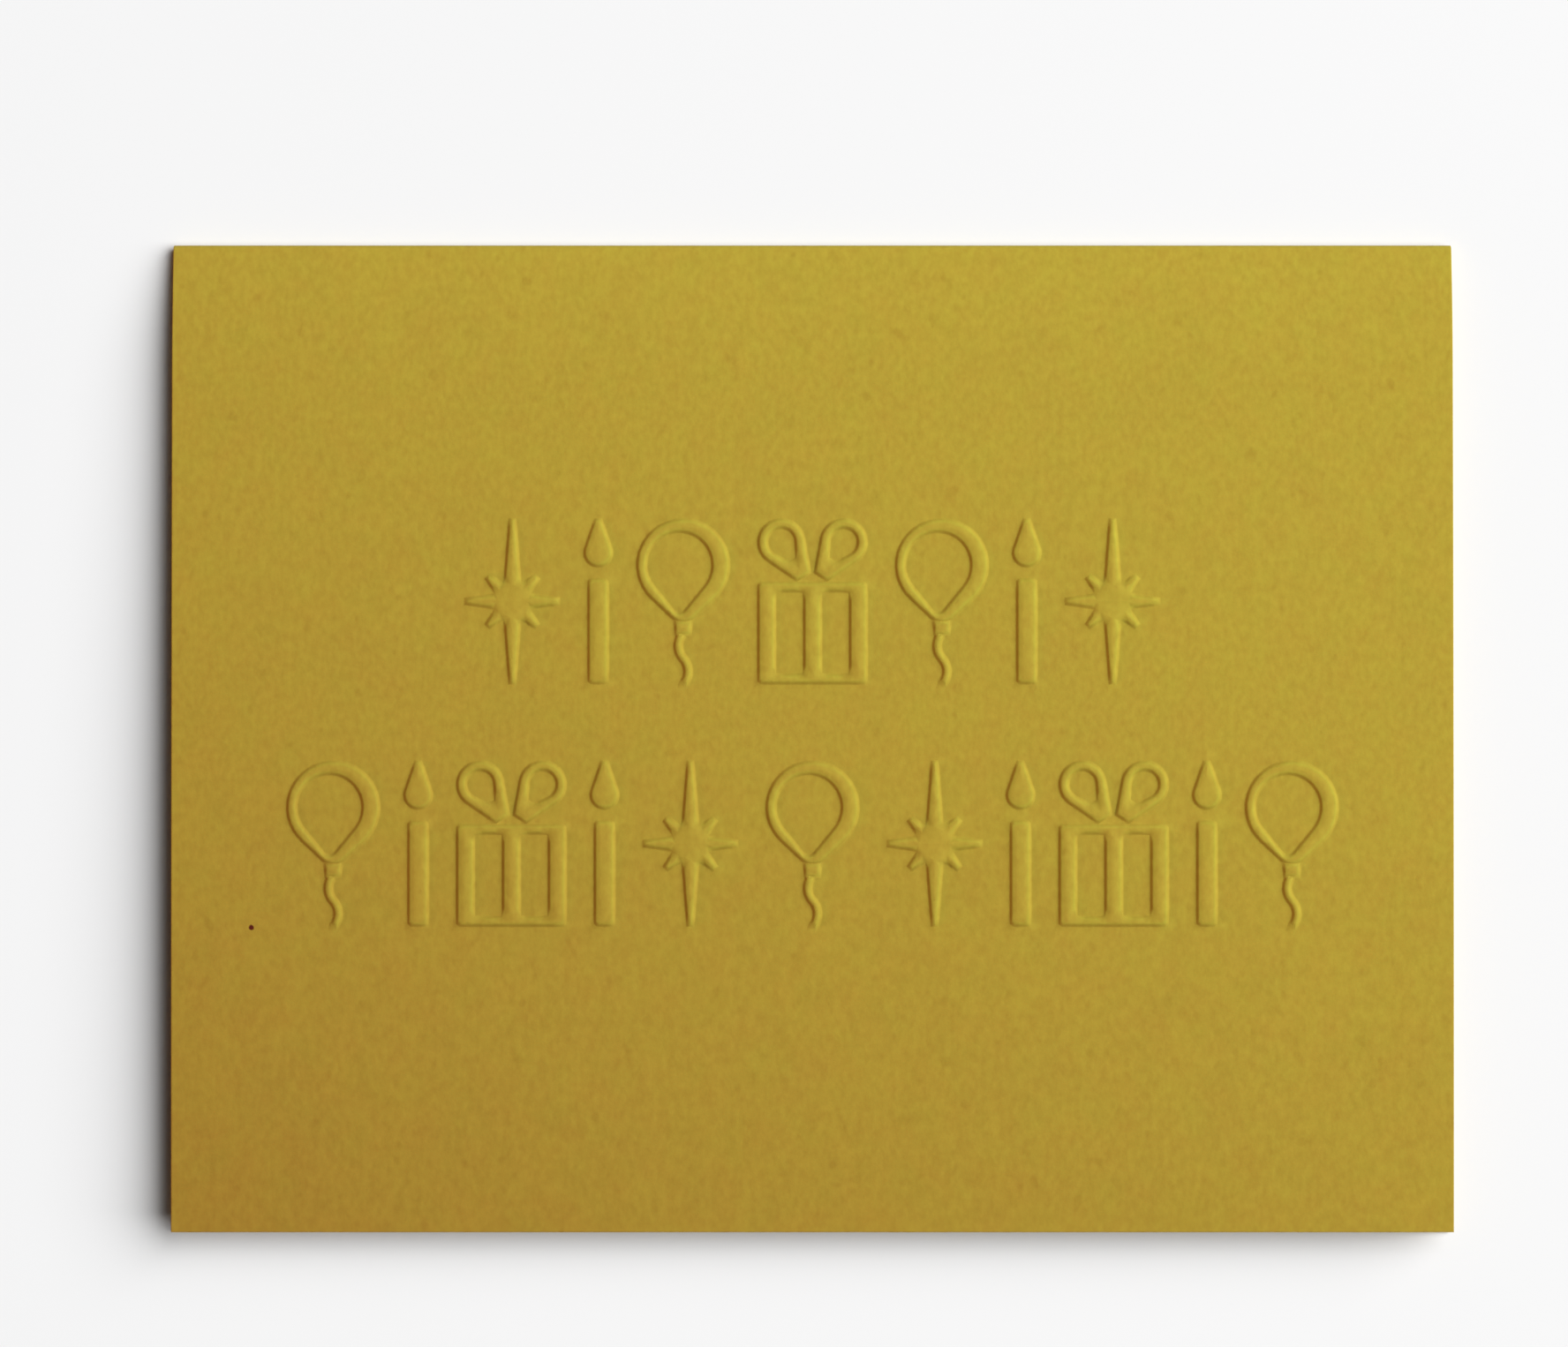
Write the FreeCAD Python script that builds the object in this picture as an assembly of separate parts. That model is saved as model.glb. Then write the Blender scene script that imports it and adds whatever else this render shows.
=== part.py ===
"""A folded greeting card in thick dyed stock, with two rows of embossed party motifs.

The card is one sheet, folded once. It lies on its back leaf with the cover upwards.
+X runs along the fold, +Y points to the fold and +Z points up from the table.
The origin is on the table, under the middle of the back leaf. Sizes are in mm.
"""
import FreeCAD, Part
import math
import os

# Folded sheet
CARD_WIDTH = 139.7            # along the fold
CARD_DEPTH = 107.95           # from the fold to the free edge
SHEET = 0.5                   # thickness of the stock
FOLD_INSIDE_RADIUS = 0.3
CREASE_BEAD_RADIUS = 0.18     # ridge that the scoring rule leaves inside the fold
SPRING_ANGLE = 13.0           # rise of the cover where it leaves the fold
COVER_ANGLE = 0.7             # rise of the cover past its bow
BOW_LENGTH = 14.0             # of the bowed strip beside the fold

# Embossing
EMBOSS_HEIGHT = 0.4
FOOT = 0.07                   # a wall's foot stands this far outside its outline
CROWN_INSET = 0.18            # and its top edge lies this far inside it
EMBOSS_ROOT = 0.2             # depth that a raised form reaches into the sheet
EMBOSS_OVER = 0.1             # an opening is cut this much past both faces

# Strokes and rows of motifs
THICK_STROKE = 2.0
THIN_STROKE = 1.15
STROKE_CORNER = 0.3
MOTIF_HEIGHT = 18.1
MOTIF_GAP = 3.0
ROW_PITCH = 26.4              # from one baseline to the next
ROWS_ABOVE_MIDDLE = 1.8       # the two rows sit this much nearer to the fold
SIDE_MARGIN = 8.0             # kept free at each side edge of the cover

# Candle
CANDLE_WIDTH = 2.3
CANDLE_HEIGHT = 11.6
FLAME_RADIUS = 1.6

# Balloon
BALLOON_RADIUS = 5.1
BALLOON_TAPER = 4.4           # from the balloon's centre down to its neck
BALLOON_NECK = 1.9
KNOT_LENGTH = 1.7
KNOT_WIDTH = 1.9
STRING_WIDTH = 1.0
STRING_SWING = 42.0           # half the turn of each bend of the string

# Gift box
BOX_WIDTH = 12.0
BOX_HEIGHT = 11.2
BOW_REACH = 3.4               # from the knot to the middle of a loop, sideways
BOW_RADIUS = 2.6
BOW_ROOT = 0.9

# Star
STAR_WIDTH = 10.4
STAR_DIAGONAL = 3.9           # length of the four slanting rays
STAR_HUB = 1.1

TIP_HALF_WIDTH = 0.4          # of the blunt points of stars, flames and loops
CROWN = min(CROWN_INSET, 0.8 * TIP_HALF_WIDTH, 0.4 * THIN_STROKE, 0.4 * STRING_WIDTH)
FOLD_OUTSIDE_RADIUS = FOLD_INSIDE_RADIUS + SHEET


def polar(centre, radius, angle):
    """The point at a radius and an angle in degrees about a centre."""
    turn = math.radians(angle)
    return (centre[0] + radius * math.cos(turn), centre[1] + radius * math.sin(turn))


def arc(centre, radius, start, end):
    """One step of an outline: an arc's start and the point halfway along it."""
    return (polar(centre, radius, start), polar(centre, radius, (start + end) / 2))


def closed_wire(steps, height=0.0):
    """Join steps (start, halfway point or None) into a closed wire at one height."""
    edges = []
    for index, (start, via) in enumerate(steps):
        end = steps[(index + 1) % len(steps)][0]
        a, b = FreeCAD.Vector(*start, height), FreeCAD.Vector(*end, height)
        if via is None:
            edges.append(Part.LineSegment(a, b).toShape())
        else:
            edges.append(Part.Arc(a, FreeCAD.Vector(*via, height), b).toShape())
    return Part.Wire(edges)


def bar(x0, y0, x1, y1, cut=0.0):
    """Outline of an upright bar, with its corners cut off where a cut is given."""
    def steps(grow):
        left, right, low, high = x0 - grow, x1 + grow, y0 - grow, y1 + grow
        if not cut:
            return [((left, low), None), ((right, low), None), ((right, high), None), ((left, high), None)]
        return [
            ((left + cut, low), None), ((right - cut, low), None),
            ((right, low + cut), None), ((right, high - cut), None),
            ((right - cut, high), None), ((left + cut, high), None),
            ((left, high - cut), None), ((left, low + cut), None),
        ]
    return steps


def drop(big, big_radius, small, small_radius):
    """Outline of a drop: two circles and their outer tangents."""
    length = math.dist(big, small)
    along = math.degrees(math.atan2(small[1] - big[1], small[0] - big[0]))
    lean = math.degrees(math.acos((big_radius - small_radius) / length))

    def steps(grow):
        r_big, r_small = big_radius + grow, small_radius + grow
        return [
            arc(big, r_big, along + lean, along + 360 - lean),
            (polar(big, r_big, along - lean), None),
            arc(small, r_small, along - lean, along + lean),
            (polar(small, r_small, along + lean), None),
        ]
    return steps


def point_lean(radius, length, half_width):
    """Angle from a point's axis to the normal of its sides, which touch a circle."""
    across = math.atan2(half_width, length)
    return math.degrees(across + math.acos(radius / math.hypot(length, half_width)))


def point_ends(centre, radius, length, lean, turn, grow):
    """The two corners of a blunt point, once its sides and its end have grown."""
    reach = length + grow
    side = math.radians(lean)
    half = (radius + grow - reach * math.cos(side)) / math.sin(side)
    across = math.degrees(math.atan2(half, reach))
    span = math.hypot(reach, half)
    return [(polar(centre, span, turn - across), None), (polar(centre, span, turn + across), None)]


def spike(big, radius, tip, half_width):
    """Outline of a drop whose tip is cut off square."""
    length = math.dist(big, tip)
    along = math.degrees(math.atan2(tip[1] - big[1], tip[0] - big[0]))
    lean = point_lean(radius, length, half_width)

    def steps(grow):
        bowl = arc(big, radius + grow, along + lean, along + 360 - lean)
        side = (polar(big, radius + grow, along - lean), None)
        return [bowl, side] + point_ends(big, radius, length, lean, along, grow)
    return steps


def wavy_string(x, top, bottom):
    """Outline of a string that bends once to the left and once to the right."""
    quarter, swing = (top - bottom) / 4, STRING_SWING
    radius = quarter / math.sin(math.radians(swing))
    shift = radius * math.cos(math.radians(swing))
    upper, lower = (x + shift, top - quarter), (x - shift, bottom + quarter)

    def steps(grow):
        half = STRING_WIDTH / 2 + grow
        return [
            arc(upper, radius + half, 180 - swing, 180 + swing),
            arc(lower, radius - half, swing, -swing),
            (polar(lower, radius - half, -swing), None),
            arc(lower, radius + half, -swing, swing),
            arc(upper, radius - half, 180 + swing, 180 - swing),
            (polar(upper, radius - half, 180 - swing), None),
        ]
    return steps


def rays(centre, lengths, hub, half_width):
    """Outline of a star whose tapered rays share one hub."""
    turns = [index * 360 / len(lengths) for index in range(len(lengths))]
    leans = [point_lean(hub, length, half_width) for length in lengths]

    def steps(grow):
        outline = []
        for index, length in enumerate(lengths):
            outline += point_ends(centre, hub, length, leans[index], turns[index], grow)
            following = (index + 1) % len(lengths)
            left = turns[index] + leans[index]
            right = turns[index] + turns[1] - leans[following]
            notch = (hub + grow) / math.cos(math.radians((left - right) / 2))
            outline.append((polar(centre, notch, (left + right) / 2), None))
        return outline
    return steps


def frustum(low_steps, low, high_steps, high):
    """Solid between two like outlines: flat walls on their lines and cones on their arcs."""
    base, crown = closed_wire(low_steps, low), closed_wire(high_steps, high)
    faces = [Part.Face(base), Part.Face(crown)]
    for (_, via), lower, upper in zip(low_steps, base.Edges, crown.Edges):
        wall = Part.makeLoft([Part.Wire(lower), Part.Wire(upper)], False, True)
        if via is None:
            wall = Part.Face(Part.Wire(Part.sortEdges(wall.Edges)[0]))
        faces += wall.Faces
    shell = Part.makeShell(faces)
    shell.sewShape()
    return Part.makeSolid(shell)


def stamp(outline, *openings):
    """Raised form with drafted walls, rooted in the sheet, less its openings."""
    draft = (FOOT + CROWN) / EMBOSS_HEIGHT
    root = FOOT + draft * EMBOSS_ROOT
    form = frustum(outline(root), -EMBOSS_ROOT, outline(-CROWN), EMBOSS_HEIGHT)
    if not openings:
        return form
    low, high = -EMBOSS_ROOT - EMBOSS_OVER, EMBOSS_HEIGHT + EMBOSS_OVER
    spread = draft * EMBOSS_OVER
    return form.cut([frustum(steps(-root - spread), low, steps(CROWN + spread), high) for steps in openings])


def candle():
    """Candle with a flame, on its baseline."""
    half = CANDLE_WIDTH / 2
    flame = (0, CANDLE_HEIGHT + THIN_STROKE + FLAME_RADIUS)
    return [
        stamp(bar(-half, 0, half, CANDLE_HEIGHT, STROKE_CORNER)),
        stamp(spike(flame, FLAME_RADIUS, (0, MOTIF_HEIGHT), TIP_HALF_WIDTH)),
    ]


def balloon():
    """Balloon with a knot and a wavy string. Its right wall is the thick one."""
    centre = (0, MOTIF_HEIGHT - BALLOON_RADIUS)
    neck = (0, centre[1] - BALLOON_TAPER)
    shift = (THICK_STROKE - THIN_STROKE) / 2
    inner_radius = BALLOON_RADIUS - (THICK_STROKE + THIN_STROKE) / 2
    knot_top = neck[1] - BALLOON_NECK + STROKE_CORNER
    knot_end = knot_top - KNOT_LENGTH
    return [
        stamp(
            drop(centre, BALLOON_RADIUS, neck, BALLOON_NECK),
            drop((-shift, centre[1]), inner_radius, (-shift, neck[1]), BALLOON_NECK - THIN_STROKE),
        ),
        stamp(bar(-KNOT_WIDTH / 2, knot_end, KNOT_WIDTH / 2, knot_top)),
        stamp(wavy_string(0, knot_end + STROKE_CORNER, 0)),
    ]


def gift():
    """Ribboned box with two loops of a bow."""
    half, post, rail = BOX_WIDTH / 2, THICK_STROKE, THIN_STROKE
    left, right = (post - half, -post / 2), (post / 2, half - post)
    panes = [bar(x0, rail, x1, BOX_HEIGHT - rail) for x0, x1 in (left, right)]
    forms = [stamp(bar(-half, 0, half, BOX_HEIGHT, STROKE_CORNER), *panes)]
    for side in (-1, 1):
        root = (side * BOW_ROOT, BOX_HEIGHT + BOW_ROOT / 2)
        loop = (side * BOW_REACH, MOTIF_HEIGHT - BOW_RADIUS)
        hole = (side * (BOW_REACH + BOW_ROOT) / 2, (root[1] + loop[1]) / 2)
        forms.append(stamp(
            spike(loop, BOW_RADIUS, root, BOW_ROOT),
            spike(loop, BOW_RADIUS - THIN_STROKE, hole, TIP_HALF_WIDTH),
        ))
    return forms


def star():
    """Eight-rayed star, tallest upright."""
    across, up, slant = STAR_WIDTH / 2, MOTIF_HEIGHT / 2, STAR_DIAGONAL
    lengths = (across, slant, up, slant) * 2
    return [stamp(rays((0, MOTIF_HEIGHT / 2), lengths, STAR_HUB, TIP_HALF_WIDTH))]


MOTIFS = {
    candle: CANDLE_WIDTH,
    balloon: 2 * BALLOON_RADIUS,
    gift: BOX_WIDTH,
    star: STAR_WIDTH,
}

# Each row is symmetric and is listed from its middle motif outwards
ROWS = (
    (gift, balloon, candle, star),
    (balloon, star, candle, gift, candle, balloon),
)


def row_places(row):
    """Place the motifs of a row, as many as the cover has room for."""
    room = CARD_WIDTH / 2 - SIDE_MARGIN
    places = [(row[0], 0)]
    edge = MOTIFS[row[0]] / 2
    for motif in row[1:]:
        x = edge + MOTIF_GAP + MOTIFS[motif] / 2
        edge = x + MOTIFS[motif] / 2
        if edge > room:
            break
        places += [(motif, -x), (motif, x)]
    return places


def fold_path():
    """Points and centres of the folded sheet's section, each as (y, z)."""
    spring, cover = math.radians(SPRING_ANGLE), math.radians(COVER_ANGLE)
    back = CARD_DEPTH / 2 - FOLD_OUTSIDE_RADIUS
    bow_radius = BOW_LENGTH / (spring - cover)
    fold_centre = (back, FOLD_OUTSIDE_RADIUS)
    bow_centre = polar(fold_centre, FOLD_OUTSIDE_RADIUS - bow_radius, 90 - SPRING_ANGLE)
    cover_start = polar(bow_centre, bow_radius, 90 - COVER_ANGLE)
    cover_length = back + CARD_DEPTH / 2 - (bow_radius - SHEET / 2) * (spring - cover)
    return fold_centre, bow_centre, bow_radius, cover_start, cover_length


def sheet_section():
    """Closed outline of the folded sheet, seen along the fold."""
    fold_centre, bow_centre, bow_radius, cover_start, cover_length = fold_path()
    free_back = -CARD_DEPTH / 2
    fold_end, bow_end = 90 - SPRING_ANGLE, 90 - COVER_ANGLE
    cover_edge = polar(cover_start, cover_length, 180 - COVER_ANGLE)
    cover_inner = polar(cover_edge, -SHEET, 90 - COVER_ANGLE)
    middle = (fold_end - 90) / 2
    bead = 2 * math.degrees(math.asin(CREASE_BEAD_RADIUS / (2 * FOLD_INSIDE_RADIUS)))
    bead_top = polar(fold_centre, FOLD_INSIDE_RADIUS - CREASE_BEAD_RADIUS, middle)
    return [
        ((free_back, 0), None),
        arc(fold_centre, FOLD_OUTSIDE_RADIUS, -90, fold_end),
        arc(bow_centre, bow_radius, fold_end, bow_end),
        (cover_start, None),
        (cover_edge, None),
        (cover_inner, None),
        arc(bow_centre, bow_radius - SHEET, bow_end, fold_end),
        arc(fold_centre, FOLD_INSIDE_RADIUS, fold_end, middle + bead),
        (polar(fold_centre, FOLD_INSIDE_RADIUS, middle + bead), bead_top),
        arc(fold_centre, FOLD_INSIDE_RADIUS, middle - bead, -90),
        (polar(fold_centre, FOLD_INSIDE_RADIUS, -90), None),
        ((free_back, SHEET), None),
    ]


def folded_sheet():
    """The plain folded sheet, before embossing."""
    face = Part.Face(closed_wire(sheet_section()))
    along_x = FreeCAD.Rotation(FreeCAD.Vector(1, 1, 1), 120)
    face.Placement = FreeCAD.Placement(FreeCAD.Vector(-CARD_WIDTH / 2, 0, 0), along_x)
    return face.extrude(FreeCAD.Vector(CARD_WIDTH, 0, 0))


def cover_frame():
    """Placement of the cover's outer face, at the end of the bow."""
    cover_start = fold_path()[3]
    tilt = FreeCAD.Rotation(FreeCAD.Vector(1, 0, 0), -COVER_ANGLE)
    return FreeCAD.Placement(FreeCAD.Vector(0, *cover_start), tilt)


def embossed_forms():
    """Raised forms of every motif, in the cover's own frame."""
    cover_start = fold_path()[3]
    middle = ROWS_ABOVE_MIDDLE - cover_start[0]
    built = {motif: motif() for motif in MOTIFS}
    forms = []
    for index, row in enumerate(ROWS):
        base = middle - MOTIF_HEIGHT / 2 + (0.5 - index) * ROW_PITCH
        for motif, x in row_places(row):
            forms += [form.translated(FreeCAD.Vector(x, base, 0)) for form in built[motif]]
    return forms


def folded_card():
    """The embossed card: each form is raised outside and pressed in from inside."""
    frame = cover_frame().toMatrix()
    raised = embossed_forms()
    pressed = [form.translated(FreeCAD.Vector(0, 0, -SHEET)) for form in raised]
    raised = [form.transformShape(frame, True) for form in raised]
    pressed = [form.transformShape(frame, True) for form in pressed]
    return folded_sheet().multiFuse(raised).cut(pressed)


os.makedirs("parts", exist_ok=True)
card = folded_card()
card.exportStep("parts/folded_card.step")
print("folded_card: solids", len(card.Solids), "valid", card.isValid(), "volume", round(card.Volume, 1))
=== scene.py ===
"""Looks of a folded greeting card in thick dyed stock, embossed with rows of party motifs.

The card's sheet is meshed flat, with its embossing, and a node tree then folds it to the place
that its CAD solid holds. Lengths are in millimetres until a mesh or a node input takes them.
"""

import logging
import math
from collections.abc import Sequence
from dataclasses import dataclass, field
from enum import Enum

import bpy
import numpy as np
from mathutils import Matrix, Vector
from mathutils.geometry import delaunay_2d_cdt

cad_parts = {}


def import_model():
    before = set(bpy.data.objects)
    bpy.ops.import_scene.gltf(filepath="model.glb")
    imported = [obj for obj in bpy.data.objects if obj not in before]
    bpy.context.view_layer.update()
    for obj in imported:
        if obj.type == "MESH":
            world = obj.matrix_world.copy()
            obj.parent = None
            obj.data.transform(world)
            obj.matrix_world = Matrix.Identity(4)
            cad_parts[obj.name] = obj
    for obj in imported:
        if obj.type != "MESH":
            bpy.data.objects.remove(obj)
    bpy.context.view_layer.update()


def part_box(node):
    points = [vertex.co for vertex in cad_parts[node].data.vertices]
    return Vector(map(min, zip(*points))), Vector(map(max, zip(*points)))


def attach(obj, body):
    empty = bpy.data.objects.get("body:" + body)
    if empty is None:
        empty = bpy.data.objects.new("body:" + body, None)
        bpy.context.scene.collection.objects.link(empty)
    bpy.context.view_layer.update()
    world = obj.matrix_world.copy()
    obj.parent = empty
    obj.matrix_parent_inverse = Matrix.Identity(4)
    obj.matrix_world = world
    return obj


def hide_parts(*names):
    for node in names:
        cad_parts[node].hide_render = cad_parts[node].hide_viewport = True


log = logging.getLogger("greeting_card")

NODE = "folded_card"
EMBOSS = "emboss"
# Mesh number for the painted shade low on the strokes' walls.
CREASE_SHADE = "crease_shade"
# Mesh number for the painted highlight at the upper edge of the strokes' walls.
SHOULDER_HIGHLIGHT = "shoulder_highlight"
MM = 0.001
TINY = 1e-3
FAR = 99.0
NO_LENGTH = 1e-12
MERGE_DISTANCE = 1e-5
WELD_DIGITS = 4

Point = tuple[float, float]
Colour = tuple[float, float, float]


def polar(centre: Point, radius: float, angle: float) -> Point:
    """Point at a radius and an angle in degrees about a centre."""
    turn = math.radians(angle)
    return (centre[0] + radius * math.cos(turn), centre[1] + radius * math.sin(turn))


def arc(centre: Point, radius: float, start: float, end: float, step: float = 9.0) -> list[Point]:
    """Points along an arc, both ends included, at most a step in degrees apart."""
    count = max(1, math.ceil(abs(end - start) / step))
    return [polar(centre, radius, start + (end - start) * i / count) for i in range(count + 1)]


class Outline:
    """Closed outline of a stroke, which can grow or shrink as a whole."""

    line_step: float = 1.1

    def knots(self, grow: float) -> list[Point]:
        """Corners and arc points of the outline, grown by a distance."""
        raise NotImplementedError

    def trace(self, grow: float = 0.0) -> np.ndarray:
        """Outline with its long lines divided, point for point alike at every growth.

        Args:
            grow: How far the outline stands outside its nominal place.

        Returns:
            The points, as rows of x and y.
        """
        nominal, knots = np.array(self.knots(0.0)), np.array(self.knots(grow))
        lengths = np.linalg.norm(np.roll(nominal, -1, axis=0) - nominal, axis=1)
        ends = np.roll(knots, -1, axis=0)
        points = []
        for start, end, length in zip(knots, ends, lengths):
            count = max(1, math.ceil(length / self.line_step))
            points += [start + (end - start) * i / count for i in range(count)]
        return np.array(points)


@dataclass(frozen=True)
class Bar(Outline):
    """Upright bar with cut corners."""

    x0: float
    y0: float
    x1: float
    y1: float
    cut: float = 0.0

    def knots(self, grow: float) -> list[Point]:
        """Corners of the bar, two at each cut.

        Args:
            grow: How far the outline stands outside its nominal place.

        Returns:
            The corners, counterclockwise.
        """
        left, right = self.x0 - grow, self.x1 + grow
        low, high, cut = self.y0 - grow, self.y1 + grow, self.cut
        if not cut:
            return [(left, low), (right, low), (right, high), (left, high)]
        return [
            (left + cut, low), (right - cut, low), (right, low + cut), (right, high - cut),
            (right - cut, high), (left + cut, high), (left, high - cut), (left, low + cut),
        ]


@dataclass(frozen=True)
class Drop(Outline):
    """Two circles and their outer tangents."""

    big: Point
    big_radius: float
    small: Point
    small_radius: float

    def knots(self, grow: float) -> list[Point]:
        """Points of the two arcs.

        Args:
            grow: How far the outline stands outside its nominal place.

        Returns:
            The points, counterclockwise.
        """
        length = math.dist(self.big, self.small)
        along = math.degrees(math.atan2(self.small[1] - self.big[1], self.small[0] - self.big[0]))
        lean = math.degrees(math.acos((self.big_radius - self.small_radius) / length))
        big = arc(self.big, self.big_radius + grow, along + lean, along + 360 - lean)
        small_radius = max(self.small_radius + grow, TINY)
        return big + arc(self.small, small_radius, along - lean, along + lean)


def point_lean(radius: float, length: float, half_width: float) -> float:
    """Angle from a point's axis to the normal of its sides, which touch a circle."""
    across = math.atan2(half_width, length)
    return math.degrees(across + math.acos(radius / math.hypot(length, half_width)))


def point_ends(
    centre: Point, radius: float, length: float, lean: float, turn: float, grow: float
) -> list[Point]:
    """Corners of a blunt point once its sides and its end have grown.

    Args:
        centre: Centre of the circle that the point's sides touch.
        radius: Radius of that circle.
        length: Reach of the point from the centre.
        lean: Angle from the point's axis to the normal of its sides.
        turn: Direction of the point, in degrees.
        grow: Distance by which the outline has grown.

    Returns:
        The right and the left corner.
    """
    side = math.radians(lean)
    reach = min(length + grow, (radius + grow) / math.cos(side) - TINY)
    half = max((radius + grow - reach * math.cos(side)) / math.sin(side), TINY)
    across, span = math.degrees(math.atan2(half, reach)), math.hypot(reach, half)
    return [polar(centre, span, turn - across), polar(centre, span, turn + across)]


@dataclass(frozen=True)
class Spike(Outline):
    """Drop whose tip is cut off square."""

    big: Point
    radius: float
    tip: Point
    half_width: float

    def knots(self, grow: float) -> list[Point]:
        """Points of the bowl and the two corners of the tip.

        Args:
            grow: How far the outline stands outside its nominal place.

        Returns:
            The points, counterclockwise.
        """
        length = math.dist(self.big, self.tip)
        along = math.degrees(math.atan2(self.tip[1] - self.big[1], self.tip[0] - self.big[0]))
        lean = point_lean(self.radius, length, self.half_width)
        bowl = arc(self.big, self.radius + grow, along + lean, along + 360 - lean)
        return bowl + point_ends(self.big, self.radius, length, lean, along, grow)


@dataclass(frozen=True)
class WavyString(Outline):
    """String that bends once to the left and once to the right."""

    top: float
    bottom: float
    width: float
    swing: float

    def knots(self, grow: float) -> list[Point]:
        """Points of the string's four arcs.

        Args:
            grow: How far the outline stands outside its nominal place.

        Returns:
            The points, counterclockwise.
        """
        quarter, swing = (self.top - self.bottom) / 4, self.swing
        radius = quarter / math.sin(math.radians(swing))
        shift = radius * math.cos(math.radians(swing))
        upper, lower = (shift, self.top - quarter), (-shift, self.bottom + quarter)
        half = self.width / 2 + grow
        return (
            arc(upper, radius + half, 180 - swing, 180 + swing)
            + arc(lower, radius - half, swing, -swing)
            + arc(lower, radius + half, -swing, swing)
            + arc(upper, radius - half, 180 + swing, 180 - swing)
        )


@dataclass(frozen=True)
class Rays(Outline):
    """Star whose tapered rays share one hub."""

    centre: Point
    lengths: tuple[float, ...]
    hub: float
    half_width: float

    def knots(self, grow: float) -> list[Point]:
        """Two corners for each ray's end and one for each notch.

        Args:
            grow: How far the outline stands outside its nominal place.

        Returns:
            The corners, counterclockwise.
        """
        count = len(self.lengths)
        leans = [point_lean(self.hub, length, self.half_width) for length in self.lengths]
        step, points = 360 / count, []
        for index, length in enumerate(self.lengths):
            turn = index * step
            points += point_ends(self.centre, self.hub, length, leans[index], turn, grow)
            left, right = turn + leans[index], turn + step - leans[(index + 1) % count]
            notch = (self.hub + grow) / math.cos(math.radians((left - right) / 2))
            points.append(polar(self.centre, notch, (left + right) / 2))
        return points


def signed_distance(points: np.ndarray, ring: np.ndarray) -> np.ndarray:
    """Distance from points to a closed polygon, positive inside it.

    Args:
        points: Rows of x and y.
        ring: The polygon's corners.

    Returns:
        One distance for each point.
    """
    start, end = ring[None], np.roll(ring, -1, axis=0)[None]
    span, offset = end - start, points[:, None] - start
    share = np.clip((offset * span).sum(-1) / np.maximum((span * span).sum(-1), NO_LENGTH), 0, 1)
    nearest = np.linalg.norm(offset - share[..., None] * span, axis=-1).min(axis=1)
    x, y = points[:, None, 0], points[:, None, 1]
    rises = (start[..., 1] > y) != (end[..., 1] > y)
    slope = np.where(np.abs(span[..., 1]) < NO_LENGTH, NO_LENGTH, span[..., 1])
    crossed = rises & (x < start[..., 0] + span[..., 0] * (y - start[..., 1]) / slope)
    return np.where(crossed.sum(axis=1) % 2 == 1, nearest, -nearest)


@dataclass(frozen=True)
class Stroke:
    """One raised form: its outline, less its openings."""

    outline: Outline
    openings: tuple[Outline, ...] = ()

    def distance(self, points: np.ndarray, squash: Point = (1.0, 1.0)) -> np.ndarray:
        """Distance of points from the stroke's edge, positive inside the stroke.

        Args:
            points: Rows of x and y.
            squash: Factors on x and y. Below 1, walls that face that way come out wider.

        Returns:
            One distance for each point.
        """
        scale = np.array(squash)
        inside = signed_distance(points * scale, self.outline.trace() * scale)
        for opening in self.openings:
            inside = np.minimum(inside, -signed_distance(points * scale, opening.trace() * scale))
        return inside

    def contours(self, level: float) -> list[np.ndarray]:
        """Outlines that lie at one distance inside the stroke's edge."""
        return [self.outline.trace(-level)] + [opening.trace(level) for opening in self.openings]


@dataclass(frozen=True)
class Relief:
    """Section of the embossing across a stroke's edge, softer where the edge runs along the fold.

    Two bands along the wall, given by their middle and half width: painted shade low on the wall and a
    painted highlight at its upper edge.
    """

    height: float = 0.4
    foot: float = 0.05
    wall: float = 0.3
    wall_share: float = 0.42
    dome: float = 1.1
    squash: Point = (1.0, 0.75)
    # Band of painted shade low on the wall: its middle and half width.
    crease_shade: Point = (0.06, 0.12)
    # Band of painted highlight at the wall's upper edge: its middle and half width.
    shoulder_highlight: Point = (0.32, 0.16)
    levels: tuple[float, ...] = (
        -0.15, -0.05, -0.01, 0.03, 0.08, 0.13, 0.19, 0.25, 0.34, 0.46, 0.62, 0.82,
    )

    def lift(self, distance: np.ndarray) -> np.ndarray:
        """Height of the paper over its plain face.

        Args:
            distance: Distance inside the nearest stroke's edge.

        Returns:
            The height, from a soft foot over a steep wall to a shallow dome.
        """
        climb = np.clip((distance + self.foot) / (self.foot + self.wall), 0, 1)
        crown = np.clip((distance + self.foot) / (self.dome + self.foot), 0, 1)
        wall = self.wall_share * climb * climb * (3 - 2 * climb)
        return self.height * (wall + (1 - self.wall_share) * (1 - (1 - crown) ** 2))

    def band(self, distance: np.ndarray, middle: float, half: float) -> np.ndarray:
        """Soft band along the strokes' edges, from 0 to 1."""
        return np.exp(-(((distance - middle) / half) ** 2))


@dataclass(frozen=True)
class Patch:
    """Triangulated piece of the flat sheet.

    It keeps each point's true distance inside the nearest stroke, and the one that shapes the wall.
    """

    points: np.ndarray
    faces: np.ndarray
    inside: np.ndarray


def triangulate(
    points: np.ndarray, edges: Sequence[tuple[int, int]]
) -> tuple[np.ndarray, np.ndarray]:
    """Triangulate points so that the given edges are kept, and merge points that meet."""
    made = delaunay_2d_cdt([Vector(p) for p in points], list(edges), [], 0, MERGE_DISTANCE, False)
    return np.array([tuple(p) for p in made[0]]), np.array(made[2])


def loop_edges(first: int, count: int) -> list[tuple[int, int]]:
    """Edges of a closed loop of numbered points."""
    return [(first + i, first + (i + 1) % count) for i in range(count)]


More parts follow.
